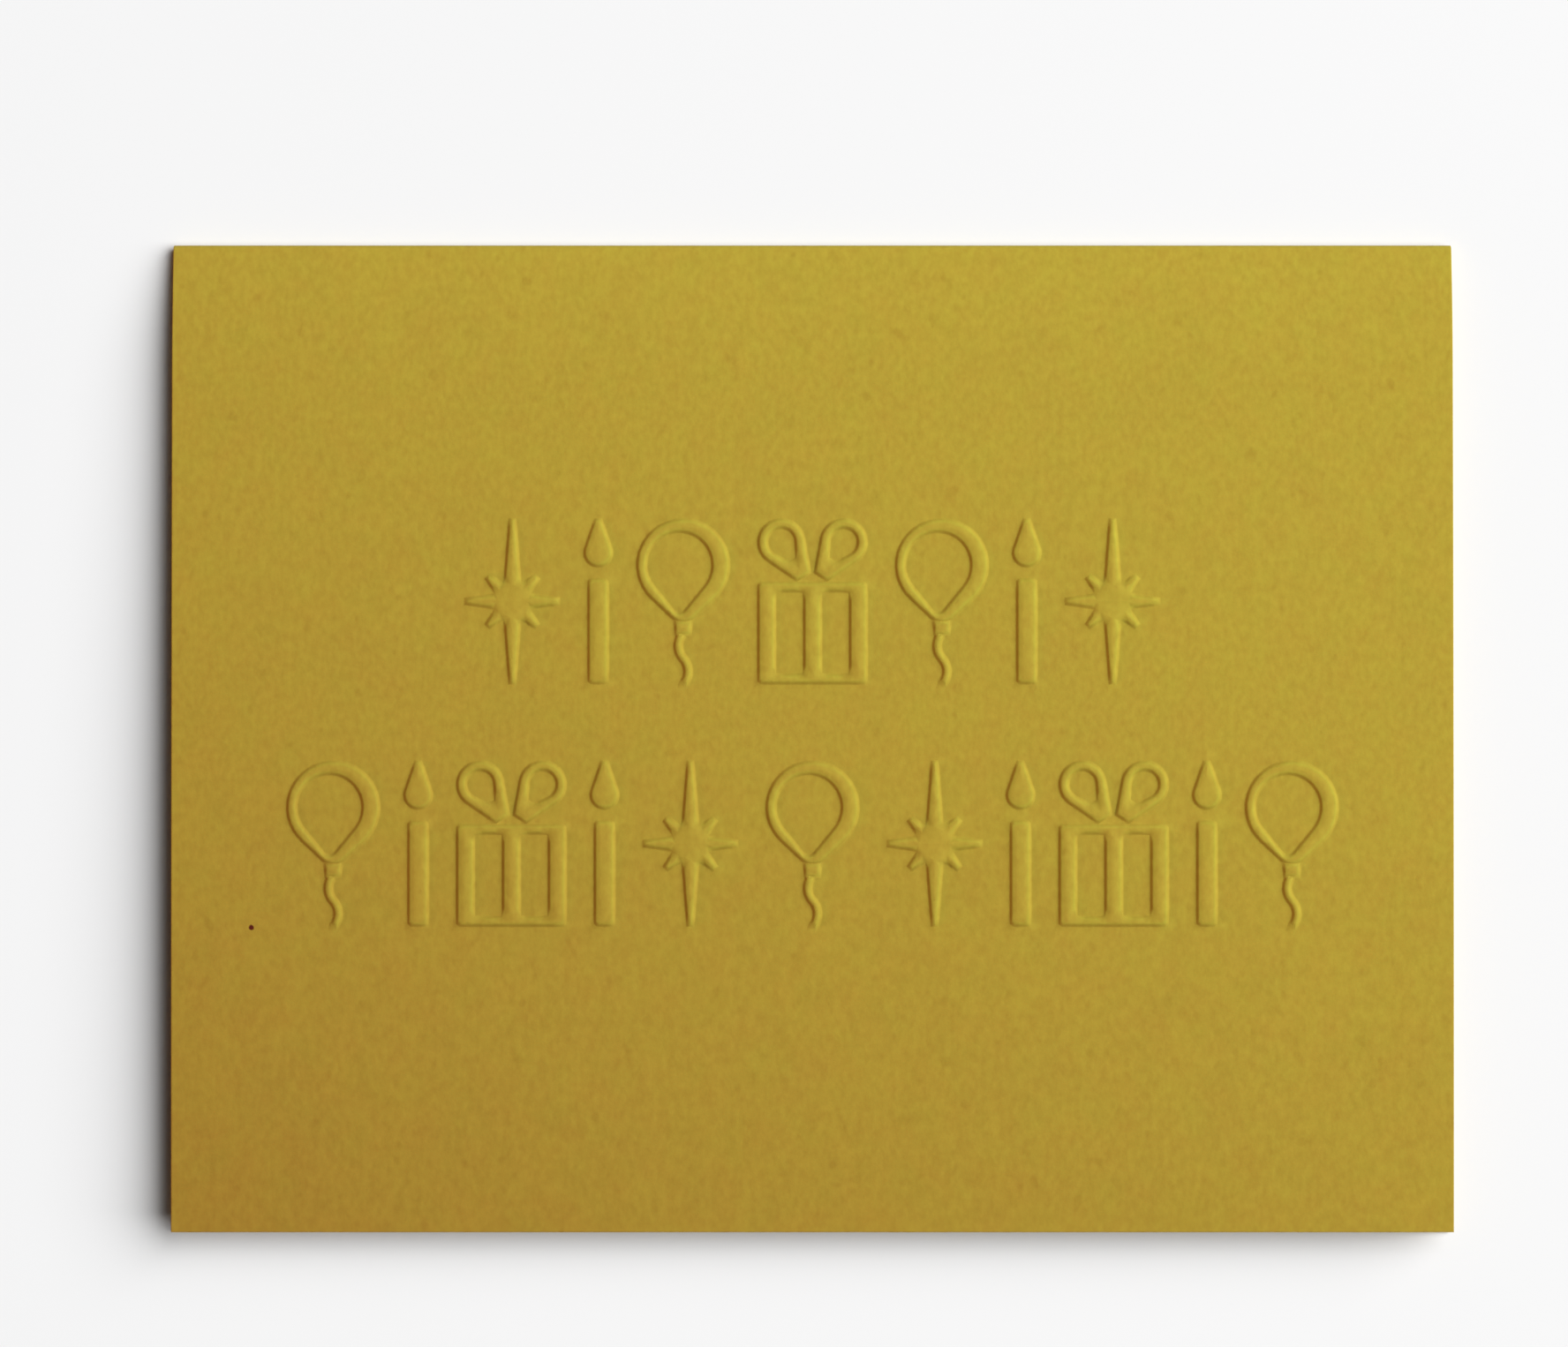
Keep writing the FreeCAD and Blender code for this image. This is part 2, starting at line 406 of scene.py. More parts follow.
@dataclass(frozen=True)
class Motif:
    """One embossed motif on its baseline, in a cell that tiles into the sheet."""

    strokes: tuple[Stroke, ...]
    width: float
    height: float
    margin: float = 1.2
    rim_step: float = 1.3
    filler_step: float = 1.0
    filler_clear: float = 0.42
    contour_slack: float = 0.02

    def rim(self) -> np.ndarray:
        """Points round the border of the cell.

        Returns:
            The points, counterclockwise from the lower left corner.
        """
        half, low, high = self.width / 2 + self.margin, -self.margin, self.height + self.margin
        corners = np.array([(-half, low), (half, low), (half, high), (-half, high)])
        points = []
        for start, end in zip(corners, np.roll(corners, -1, axis=0)):
            count = math.ceil(float(np.linalg.norm(end - start)) / self.rim_step)
            points += [start + (end - start) * i / count for i in range(count)]
        return np.array(points)

    def distance(self, points: np.ndarray, squash: Point = (1.0, 1.0)) -> np.ndarray:
        """Distance inside the edge of the nearest stroke, with x and y squashed as a stroke's."""
        return np.max([stroke.distance(points, squash) for stroke in self.strokes], axis=0)

    def filler(self) -> np.ndarray:
        """Loose points of the cell that lie clear of every contour.

        Returns:
            Rows of x and y.
        """
        half, inset = self.width / 2 + self.margin, self.margin / 2
        xs = np.arange(-half + inset, half - inset / 2, self.filler_step)
        ys = np.arange(-inset, self.height + inset, self.filler_step)
        points = np.array([(x, y) for x in xs for y in ys])
        return points[self.distance(points) < -self.filler_clear]

    def cell(self, relief: Relief) -> Patch:
        """Mesh the cell along the contours of its relief.

        Args:
            relief: Section of the embossing.

        Returns:
            The cell in its own frame, with its baseline at zero.
        """
        rim = self.rim()
        points, edges = [rim], loop_edges(0, len(rim))
        total = len(rim)
        for level in relief.levels:
            for stroke in self.strokes:
                for ring in stroke.contours(level):
                    kept = np.abs(self.distance(ring) - level) < self.contour_slack
                    whole = kept & np.roll(kept, -1)
                    edges += [edge for edge, use in zip(loop_edges(total, len(ring)), whole) if use]
                    points.append(np.where(kept[:, None], ring, rim[0]))
                    total += len(ring)
        points.append(self.filler())
        merged, faces = triangulate(np.vstack(points), edges)
        inside = np.column_stack([self.distance(merged), self.distance(merged, relief.squash)])
        return Patch(merged, faces, inside)


@dataclass(frozen=True)
class MotifSizes:
    """Sizes that the motifs share, and those of each."""

    height: float = 18.1
    gap: float = 3.0
    thick: float = 2.0
    thin: float = 1.15
    corner: float = 0.3
    tip: float = 0.4
    candle: tuple[float, float, float] = (2.3, 11.6, 1.6)
    balloon: tuple[float, float, float] = (5.1, 4.4, 1.9)
    knot: tuple[float, float] = (1.7, 1.9)
    string: tuple[float, float] = (1.0, 42.0)
    box: tuple[float, float] = (12.0, 11.2)
    bow: tuple[float, float, float] = (3.4, 2.6, 0.9)
    star: tuple[float, float, float] = (10.4, 3.9, 1.1)

    def make_candle(self) -> Motif:
        """Candle with a flame.

        Returns:
            The motif.
        """
        width, body, flame_radius = self.candle
        flame = (0.0, body + self.thin + flame_radius)
        strokes = (
            Stroke(Bar(-width / 2, 0.0, width / 2, body, self.corner)),
            Stroke(Spike(flame, flame_radius, (0.0, self.height), self.tip)),
        )
        return Motif(strokes, width, self.height)

    def make_balloon(self) -> Motif:
        """Balloon with a thick right wall, a knot and a wavy string.

        Returns:
            The motif.
        """
        radius, taper, neck_radius = self.balloon
        centre, neck = (0.0, self.height - radius), (0.0, self.height - radius - taper)
        shift = (self.thick - self.thin) / 2
        inner_radius = radius - (self.thick + self.thin) / 2
        hollow = Drop((-shift, centre[1]), inner_radius, (-shift, neck[1]), neck_radius - self.thin)
        knot_length, knot_width = self.knot
        knot_top = neck[1] - neck_radius + self.corner
        knot_end = knot_top - knot_length
        strokes = (
            Stroke(Drop(centre, radius, neck, neck_radius), (hollow,)),
            Stroke(Bar(-knot_width / 2, knot_end, knot_width / 2, knot_top)),
            Stroke(WavyString(knot_end + self.corner, 0.0, *self.string)),
        )
        return Motif(strokes, 2 * radius, self.height)

    def make_gift(self) -> Motif:
        """Ribboned box with two loops of a bow.

        Returns:
            The motif.
        """
        width, tall = self.box
        half, post, rail = width / 2, self.thick, self.thin
        sides = ((post - half, -post / 2), (post / 2, half - post))
        panes = tuple(Bar(x0, rail, x1, tall - rail) for x0, x1 in sides)
        strokes = [Stroke(Bar(-half, 0.0, half, tall, self.corner), panes)]
        reach, radius, root_half = self.bow
        for side in (-1, 1):
            root = (side * root_half, tall + root_half / 2)
            loop = (side * reach, self.height - radius)
            hole = ((root[0] + loop[0]) / 2, (root[1] + loop[1]) / 2)
            hollow = Spike(loop, radius - self.thin, hole, self.tip)
            strokes.append(Stroke(Spike(loop, radius, root, root_half), (hollow,)))
        return Motif(tuple(strokes), width, self.height)

    def make_star(self) -> Motif:
        """Eight-rayed star, tallest upright.

        Returns:
            The motif.
        """
        width, slant, hub = self.star
        lengths = (width / 2, slant, self.height / 2, slant) * 2
        rays = Rays((0.0, self.height / 2), lengths, hub, self.tip)
        return Motif((Stroke(rays),), width, self.height)


class MotifKind(Enum):
    """The embossed motifs."""

    CANDLE = "candle"
    BALLOON = "balloon"
    GIFT = "gift"
    STAR = "star"

    def motif(self, sizes: MotifSizes) -> Motif:
        """Build the motif of this kind.

        Args:
            sizes: Sizes of the motifs.

        Returns:
            The motif.
        """
        makers = {
            MotifKind.CANDLE: sizes.make_candle,
            MotifKind.BALLOON: sizes.make_balloon,
            MotifKind.GIFT: sizes.make_gift,
            MotifKind.STAR: sizes.make_star,
        }
        return makers[self]()


@dataclass(frozen=True)
class Sheet:
    """The folded sheet: its section across the fold, and its lengths laid flat."""

    width: float
    depth: float
    thickness: float = 0.5
    fold_inside: float = 0.3
    spring_angle: float = 13.0
    cover_angle: float = 0.7
    bow_length: float = 14.0

    @property
    def fold_outside(self) -> float:
        """Radius of the fold's outer face."""
        return self.fold_inside + self.thickness

    @property
    def back_length(self) -> float:
        """Flat length of the back leaf, up to the fold."""
        return self.depth - self.fold_outside

    @property
    def fold_length(self) -> float:
        """Flat length of the fold, along the middle of the stock."""
        return (self.fold_outside - self.thickness / 2) * math.radians(180 - self.spring_angle)

    @property
    def bow_radius(self) -> float:
        """Radius of the bow's outer face."""
        return self.bow_length / math.radians(self.spring_angle - self.cover_angle)

    @property
    def bow_flat(self) -> float:
        """Flat length of the bow, along the middle of the stock."""
        turn = math.radians(self.spring_angle - self.cover_angle)
        return (self.bow_radius - self.thickness / 2) * turn

    @property
    def cover_length(self) -> float:
        """Length of the straight part of the cover."""
        return self.back_length - self.bow_flat

    @property
    def cover_start(self) -> float:
        """Flat distance from the back leaf's free edge to the straight part of the cover."""
        return self.back_length + self.fold_length + self.bow_flat

    @property
    def cover_start_y(self) -> float:
        """Place where the cover's straight part starts, across the folded card.

        Returns:
            The place, from the card's middle.
        """
        spring, cover = math.sin(math.radians(self.spring_angle)), math.sin(math.radians(self.cover_angle))
        fold_y = self.depth / 2 - self.fold_outside
        return fold_y + self.fold_outside * spring - self.bow_radius * (spring - cover)

    @property
    def flat_length(self) -> float:
        """Whole length of the sheet before it was folded."""
        return self.cover_start + self.cover_length


@dataclass(frozen=True)
class FlatSheet:
    """Closed mesh of the embossed sheet before it is folded."""

    sheet: Sheet
    relief: Relief
    sizes: MotifSizes
    rows: tuple[tuple[MotifKind, ...], ...]
    row_pitch: float = 26.4
    rows_above_middle: float = 1.8
    side_margin: float = 8.0
    edge_round: float = 0.07
    hems: tuple[float, ...] = (0.1, 0.45)
    column_step: float = 3.2
    lead_in: float = 2.0
    row_counts: tuple[int, ...] = (30, 4, 18, 16, 32)
    cell_clear: float = 0.7
    fray: float = 0.012
    bead_height: float = 0.16
    bead_half: float = 0.35
    seed: int = 7

    def places(self) -> list[tuple[MotifKind, float, float]]:
        """Place every motif, in rows that grow from their middle motif to both sides.

        Returns:
            Kind, place along the fold and flat baseline of each.
        """
        room = self.sheet.width / 2 - self.side_margin
        middle = self.sheet.cover_start + self.sheet.cover_start_y - self.rows_above_middle
        found = []
        for index, row in enumerate(self.rows):
            base = middle + self.sizes.height / 2 - (0.5 - index) * self.row_pitch
            edge = row[0].motif(self.sizes).width / 2
            found.append((row[0], 0.0, base))
            for kind in row[1:]:
                width = kind.motif(self.sizes).width
                x = edge + self.sizes.gap + width / 2
                edge = x + width / 2
                if edge > room:
                    break
                found += [(kind, -x, base), (kind, x, base)]
        return found

    def stations(self) -> tuple[np.ndarray, np.ndarray]:
        """Stations of the plain grid: close rows round the fold, wide ones on the leaves.

        Returns:
            Places of the columns along the fold, and of the rows along the flat sheet.
        """
        sheet, inset = self.sheet, self.edge_round
        side, end = sheet.width / 2 - inset, sheet.flat_length - inset
        columns = np.linspace(-side, side, 1 + math.ceil(2 * side / self.column_step))
        bounds = (
            inset, sheet.back_length - self.lead_in, sheet.back_length,
            sheet.back_length + sheet.fold_length, sheet.cover_start, end,
        )
        spans = zip(bounds, bounds[1:], self.row_counts)
        rows = np.concatenate([np.linspace(a, b, n + 1)[:-1] for a, b, n in spans] + [[end]])
        hems = np.array(self.hems)
        columns = np.concatenate([columns, hems - side, side - hems])
        rows = np.concatenate([rows, inset + hems, end - hems])
        return np.sort(columns), np.sort(rows)

    def ground(self, cells: list[np.ndarray]) -> Patch:
        """Mesh the plain sheet round the cells.

        Args:
            cells: Border of each cell, in the flat sheet's frame.

        Returns:
            The plain part of the sheet.
        """
        columns, rows = self.stations()
        grid = np.array([(x, s) for x in columns for s in rows])
        inner = np.ones(len(grid), bool)
        for cell in cells:
            low, high = cell.min(axis=0) - self.cell_clear, cell.max(axis=0) + self.cell_clear
            inner &= ~np.all((grid > low) & (grid < high), axis=1)
        edges, total = [], 0
        for cell in cells:
            edges += loop_edges(total, len(cell))
            total += len(cell)
        merged, faces = triangulate(np.vstack(cells + [grid[inner]]), edges)
        middles = merged[faces].mean(axis=1)
        outside = np.ones(len(faces), bool)
        for cell in cells:
            outside &= ~np.all((middles > cell.min(axis=0)) & (middles < cell.max(axis=0)), axis=1)
        return Patch(merged, faces[outside], np.full((len(merged), 2), -FAR))

    def plan(self) -> Patch:
        """Lay out the whole sheet in one plane.

        Returns:
            The sheet, its cells welded to the plain part.
        """
        cells = {kind: kind.motif(self.sizes).cell(self.relief) for kind in MotifKind}
        rims = {kind: kind.motif(self.sizes).rim() for kind in MotifKind}
        flip = np.array([1.0, -1.0])
        places = [(kind, np.array([x, base])) for kind, x, base in self.places()]
        parts = [self.ground([rims[kind] * flip + place for kind, place in places])]
        for kind, place in places:
            cell = cells[kind]
            parts.append(Patch(cell.points * flip + place, cell.faces[:, ::-1], cell.inside))
        points = np.vstack([part.points for part in parts])
        starts = np.cumsum([0] + [len(part.points) for part in parts[:-1]])
        faces = np.vstack([part.faces + start for part, start in zip(parts, starts)])
        inside = np.vstack([part.inside for part in parts])
        rounded = np.round(points, WELD_DIGITS)
        _, first, welded = np.unique(rounded, axis=0, return_index=True, return_inverse=True)
        return Patch(points[first], welded.reshape(-1)[faces], inside[first])

    def border(self, plan: Patch) -> list[int]:
        """Find the rim of the plan.

        Args:
            plan: The whole sheet in one plane.

        Returns:
            Point numbers round the rim, counterclockwise.
        """
        low, high = plan.points.min(axis=0), plan.points.max(axis=0)
        loop: list[int] = []
        for edge, axis, way in ((low, 1, 1), (high, 0, 1), (high, 1, -1), (low, 0, -1)):
            found = np.nonzero(np.abs(plan.points[:, axis] - edge[axis]) < TINY)[0]
            loop += list(found[np.argsort(way * plan.points[found, 1 - axis])][:-1])
        return loop

    def bead(self, along: np.ndarray) -> np.ndarray:
        """Height of the bead that the score leaves inside the fold.

        Args:
            along: Flat distances from the back leaf's free edge.

        Returns:
            One height for each.
        """
        middle = self.sheet.back_length + self.sheet.fold_length / 2
        share = np.clip((along - middle) / self.bead_half, -1, 1)
        return self.bead_height * np.cos(share * math.pi / 2) ** 2

    def edge_rings(self, rim: np.ndarray) -> list[np.ndarray]:
        """Round the cut edge, and fray it along its middle.

        Args:
            rim: Points round the border of the plan.

        Returns:
            Rings of points, from the outer face to the inner one.
        """
        half, radius = self.sheet.thickness / 2, self.edge_round
        low, high = rim.min(axis=0), rim.max(axis=0)
        outward = (np.abs(rim - high) < TINY).astype(float) - (np.abs(rim - low) < TINY)
        noise = np.random.default_rng(self.seed)
        bulge = 1 - math.cos(math.radians(45))
        section = (
            (radius * (1 - bulge), half - radius * bulge), (radius, half - radius), (radius, 0.0),
            (radius, radius - half), (radius * (1 - bulge), radius * bulge - half),
        )
        rings = []
        for reach, height in section:
            wear = noise.uniform(-self.fray, self.fray, (len(rim), 1)) if height == 0.0 else 0.0
            rings.append(np.column_stack([rim + outward * (reach + wear), np.full(len(rim), height)]))
        return rings

    def mark(self, mesh: bpy.types.Mesh, plan: Patch) -> None:
        """Write the embossing and the bands of painted shade and painted highlight along its walls to the
        mesh's points, for the finish.

        Args:
            mesh: The closed sheet. The plan's points come first in it, once for each face.
            plan: The whole sheet in one plane.
        """
        relief, edge = self.relief, plan.inside[:, 0]
        # The two bands become painted shade and a painted highlight in the finish.
        bands = {
            EMBOSS: relief.lift(plan.inside[:, 1]) / relief.height,
            CREASE_SHADE: relief.band(edge, *relief.crease_shade),
            SHOULDER_HIGHLIGHT: relief.band(edge, *relief.shoulder_highlight),
        }
        for name, values in bands.items():
            marked = np.zeros(len(mesh.vertices))
            marked[:2 * len(values)] = np.tile(values, 2)
            mesh.attributes.new(name, "FLOAT", "POINT").data.foreach_set("value", marked)

    def mesh(self) -> bpy.types.Mesh:
        """Close the plan into a sheet with two faces and softly rounded cut edges.

        Returns:
            The flat sheet, in metres.
        """
        plan = self.plan()
        half, count = self.sheet.thickness / 2, len(plan.points)
        lift = self.relief.lift(plan.inside[:, 1])
        outer = np.column_stack([plan.points, lift + half])
        inner = np.column_stack([plan.points, lift - half - self.bead(plan.points[:, 1])])
        loop = np.array(self.border(plan))
        rings = self.edge_rings(plan.points[loop])
        points = np.vstack([outer, inner] + rings)
        faces = [tuple(face) for face in np.vstack([plan.faces, plan.faces[:, ::-1] + count]).tolist()]
        between = [2 * count + len(loop) * ring + np.arange(len(loop)) for ring in range(len(rings))]
        layers = [loop, *between, loop + count]
        for upper, lower in zip(layers, layers[1:]):
            quads = np.column_stack([upper, lower, np.roll(lower, -1), np.roll(upper, -1)])
            faces += [tuple(quad) for quad in quads.tolist()]
        mesh = bpy.data.meshes.new("flat_sheet")
        mesh.from_pydata([tuple(p * MM) for p in points], [], faces)
        self.mark(mesh, plan)
        return mesh


class Field:
    """Number in a node tree. Python's operators on it add Math nodes."""

    def __init__(self, tree: bpy.types.NodeTree, socket: bpy.types.NodeSocket) -> None:
        """Wrap an output socket of the tree."""
        self.tree, self.socket = tree, socket

    def math(self, operation: str, *others: "Field | float") -> "Field":
        """Add a Math node whose first input is this number.

        Args:
            operation: What the node does.
            others: Its further inputs.

        Returns:
            The node's result.
        """
        node = self.tree.nodes.new("ShaderNodeMath")
        node.operation = operation
        for socket, value in zip(node.inputs, (self, *others)):
            if isinstance(value, Field):
                self.tree.links.new(value.socket, socket)
            else:
                socket.default_value = value
        return Field(self.tree, node.outputs[0])

    def __add__(self, other: "Field | float") -> "Field":
        """Sum."""
        return self.math("ADD", other)

    def __sub__(self, other: "Field | float") -> "Field":
        """Difference."""
        return self.math("SUBTRACT", other)

    def __mul__(self, other: "Field | float") -> "Field":
        """Product."""
        return self.math("MULTIPLY", other)

    def __truediv__(self, other: "Field | float") -> "Field":
        """Quotient."""
        return self.math("DIVIDE", other)

    def sin(self) -> "Field":
        """Sine."""
        return self.math("SINE")

    def cos(self) -> "Field":
        """Cosine."""
        return self.math("COSINE")

    def within(self, low: "Field | float", high: "Field | float") -> "Field":
        """Limit to a range."""
        return self.math("MAXIMUM", low).math("MINIMUM", high)


def split(tree: bpy.types.NodeTree, vector: bpy.types.NodeSocket) -> list[Field]:
    """Split a vector in a node tree.

    Args:
        tree: The node tree.
        vector: The vector.

    Returns:
        Its three numbers.
    """
    node = tree.nodes.new("ShaderNodeSeparateXYZ")
    tree.links.new(vector, node.inputs[0])
    return [Field(tree, output) for output in node.outputs]


def join(tree: bpy.types.NodeTree, numbers: Sequence[Field]) -> bpy.types.NodeSocket:
    """Join numbers in a node tree.

    Args:
        tree: The node tree.
        numbers: The three numbers.

    Returns:
        Their vector.
    """
    node = tree.nodes.new("ShaderNodeCombineXYZ")
    for number, socket in zip(numbers, node.inputs):
        tree.links.new(number.socket, socket)
    return node.outputs[0]


@dataclass(frozen=True)
class FoldTree:
    """Node tree that folds the flat sheet and lays it on its back leaf."""

    sheet: Sheet
    material: bpy.types.Material
    arch: float = 0.35
    cockle: float = 0.07
    cockle_size: float = 38.0
    cockle_fade: float = 2.5
    cockle_octaves: float = 1.0
    seed: int = 3

    def inputs(self) -> dict[str, float]:
        """Named inputs of the tree.

        Returns:
            Their values, lengths in metres and angles in radians.
        """
        sheet = self.sheet
        return {
            "Card depth": sheet.depth * MM,
            "Stock thickness": sheet.thickness * MM,
            "Fold inside radius": sheet.fold_inside * MM,
            "Spring angle": math.radians(sheet.spring_angle),
            "Cover angle": math.radians(sheet.cover_angle),
            "Bow length": sheet.bow_length * MM,
            "Cover arch": self.arch * MM,
            "Cockle height": self.cockle * MM,
            "Cockle size": self.cockle_size * MM,
            "Seed": float(self.seed),
        }

    def build(self) -> bpy.types.NodeTree:
        """Build the tree.

        Returns:
            The tree, from the flat sheet's geometry to the folded one.
        """
        tree = bpy.data.node_groups.new("fold_sheet", "GeometryNodeTree")
        face = tree.interface
        face.new_socket("Geometry", in_out="INPUT", socket_type="NodeSocketGeometry")
        face.new_socket("Geometry", in_out="OUTPUT", socket_type="NodeSocketGeometry")
        for name, value in self.inputs().items():
            face.new_socket(name, in_out="INPUT", socket_type="NodeSocketFloat").default_value = value
        new, link = tree.nodes.new, tree.links.new
        entry, leave = new("NodeGroupInput"), new("NodeGroupOutput")
        given = {name: Field(tree, entry.outputs[name]) for name in self.inputs()}
        depth, thick = given["Card depth"], given["Stock thickness"]
        spring, cover_angle = given["Spring angle"], given["Cover angle"]

        x, along, rise = split(tree, new("GeometryNodeInputPosition").outputs[0])

        fold_radius = given["Fold inside radius"] + thick * 0.5
        back = depth - given["Fold inside radius"] - thick
        turn = spring - cover_angle
        bow_radius = given["Bow length"] / turn - thick * 0.5
        half_turn = (spring * -1.0) + math.pi

        fold_turn = ((along - back) / fold_radius).within(0.0, half_turn)
        fold_end = back + fold_radius * half_turn
        bow_turn = ((along - fold_end) / bow_radius).within(0.0, turn)
        cover_at = fold_end + bow_radius * turn
        cover_run = (along - cover_at).math("MAXIMUM", 0.0)
        heading = fold_turn + bow_turn

        reach = back - bow_radius * turn
        arch = ((cover_run / reach) * math.pi).sin() * given["Cover arch"]
        share = (cover_run / reach).within(0.0, 1.0)
        rise = rise + arch + self.cockle_field(tree, given, x, along, share)

        y = depth * -0.5 + along.math("MINIMUM", back) + fold_radius * fold_turn.sin()
        y = y + bow_radius * (heading.sin() - fold_turn.sin()) + cover_run * heading.cos()
        z = thick * 0.5 + fold_radius * (fold_turn.cos() * -1.0 + 1.0)
        z = z + bow_radius * (fold_turn.cos() - heading.cos()) + cover_run * heading.sin()

        folded = join(tree, (x, y + rise * heading.sin(), z - rise * heading.cos()))
        move, flip = new("GeometryNodeSetPosition"), new("GeometryNodeFlipFaces")
        realize, paint = new("GeometryNodeRealizeInstances"), new("GeometryNodeSetMaterial")
        paint.inputs["Material"].default_value = self.material
        link(folded, move.inputs["Position"])
        steps = (entry, move, flip, realize, paint, leave)
        for step, following in zip(steps, steps[1:]):
            link(step.outputs[0], following.inputs[0])
        return tree

    def cockle_field(
        self, tree: bpy.types.NodeTree, given: dict[str, Field], x: Field, along: Field, share: Field
    ) -> Field:
        """Slow waves of the cover, which fade out towards the fold.

        Args:
            tree: Tree that is being built.
            given: Named inputs of the tree.
            x: Place along the fold.
            along: Flat distance from the back leaf's free edge.
            share: How far down the cover a point lies, from 0 to 1.

        Returns:
            The height that the waves add.
        """
        waves = tree.nodes.new("ShaderNodeTexNoise")
        waves.inputs["Detail"].default_value = self.cockle_octaves
        tree.links.new(join(tree, (x, along, given["Seed"])), waves.inputs["Vector"])
        tree.links.new(given["Cockle size"].math("POWER", -1.0).socket, waves.inputs["Scale"])
        level = (Field(tree, waves.outputs[0]) - 0.5) * 2.0
        return level * given["Cockle height"] * (share * self.cockle_fade).within(0.0, 1.0)

    def fold(self, flat: bpy.types.Mesh, name: str) -> bpy.types.Object:
        """Fold the flat mesh and keep the result as a plain mesh.

        Args:
            flat: Mesh of the flat sheet.
            name: Name of the finished piece.

        Returns:
            The finished object, at the origin.
        """
        source = bpy.data.objects.new("flat_sheet", flat)
        bpy.context.scene.collection.objects.link(source)
        modifier = source.modifiers.new("Fold", "NODES")
        tree = self.build()
        modifier.node_group = tree
        wanted = self.inputs()
        for item in tree.interface.items_tree:
            if item.in_out == "INPUT" and item.name in wanted:
                modifier[item.identifier] = wanted[item.name]
        bpy.context.view_layer.update()
        ready = source.evaluated_get(bpy.context.evaluated_depsgraph_get())
        mesh = bpy.data.meshes.new_from_object(ready)
        mesh.name = name
        source.modifiers.remove(modifier)
        bpy.data.objects.remove(source)
        made = bpy.data.objects.new(name, mesh)
        bpy.context.scene.collection.objects.link(made)
        return made


@dataclass(frozen=True)
class Noise:
    """Noise in the piece's own coordinates: waves in each metre, their stretch and finer octaves."""

    scale: float
    stretch: tuple[float, float, float] = (1.0, 1.0, 1.0)
    octaves: float = 2.0


class PaintTree:
    """Node tree of a material, in the piece's own coordinates."""

    def __init__(self, tree: bpy.types.NodeTree) -> None:
        """Take up the tree and add the coordinates."""
        self.tree = tree
        self.spot = tree.nodes.new("ShaderNodeTexCoord").outputs["Object"]

    def noise(self, kind: Noise) -> Field:
        """Add a noise.

        Args:
            kind: The noise.

        Returns:
            Its level, from 0 to 1.
        """
        new = self.tree.nodes.new
        mapping, texture = new("ShaderNodeMapping"), new("ShaderNodeTexNoise")
        mapping.inputs["Scale"].default_value = kind.stretch
        texture.inputs["Scale"].default_value = kind.scale
        texture.inputs["Detail"].default_value = kind.octaves
        self.tree.links.new(self.spot, mapping.inputs["Vector"])
        self.tree.links.new(mapping.outputs[0], texture.inputs["Vector"])
        return Field(self.tree, texture.outputs[0])

    def attribute(self, name: str) -> Field:
        """Read a number that the mesh carries at its points.

        Args:
            name: Name of the number.

        Returns:
            The number.
        """
        node = self.tree.nodes.new("ShaderNodeAttribute")
        node.attribute_name = name
        return Field(self.tree, node.outputs["Fac"])

    def mix(
        self, mode: str, share: Field | float, first: Colour | bpy.types.NodeSocket,
        second: Colour | bpy.types.NodeSocket,
    ) -> bpy.types.NodeSocket:
        """Mix two colours.

        Args:
            mode: How they are mixed, as the Mix node names it.
            share: How far, from 0 to 1.
            first: The colour at share 0.
            second: The colour that is mixed in.

        Returns:
            The mixed colour.
        """
        node = self.tree.nodes.new("ShaderNodeMix")
        node.data_type, node.blend_type = "RGBA", mode
        for value, socket in zip((share, first, second), (node.inputs[i] for i in (0, 6, 7))):
            if isinstance(value, Field):
                self.tree.links.new(value.socket, socket)
            elif isinstance(value, bpy.types.NodeSocket):
                self.tree.links.new(value, socket)
            else:
                socket.default_value = (*value, 1.0) if isinstance(value, tuple) else value
        return node.outputs[2]


@dataclass(frozen=True)
class Mark:
    """Small ragged spot on the stock, its place and radius in metres."""

    x: float
    y: float
    radius: float
    squash: float = 0.8
    rag: tuple[float, float] = (0.9, 0.55)
    edge: tuple[float, float] = (-2.0, 2.6)

    def mask(self, x: Field, y: Field, noise: Field) -> Field:
        """Mask of the spot.

        Args:
            x: Place along the fold.
            y: Place across it.
            noise: Noise that makes the spot ragged.

        Returns:
            The mask, 1 inside the spot.
        """
        across, up = x - self.x, y - self.y
        radius = (noise * self.rag[0] + self.rag[1]) * self.radius
        distance = (across * across + up * up * self.squash).math("SQRT") / radius
        return (distance * self.edge[0] + self.edge[1]).within(0.0, 1.0)


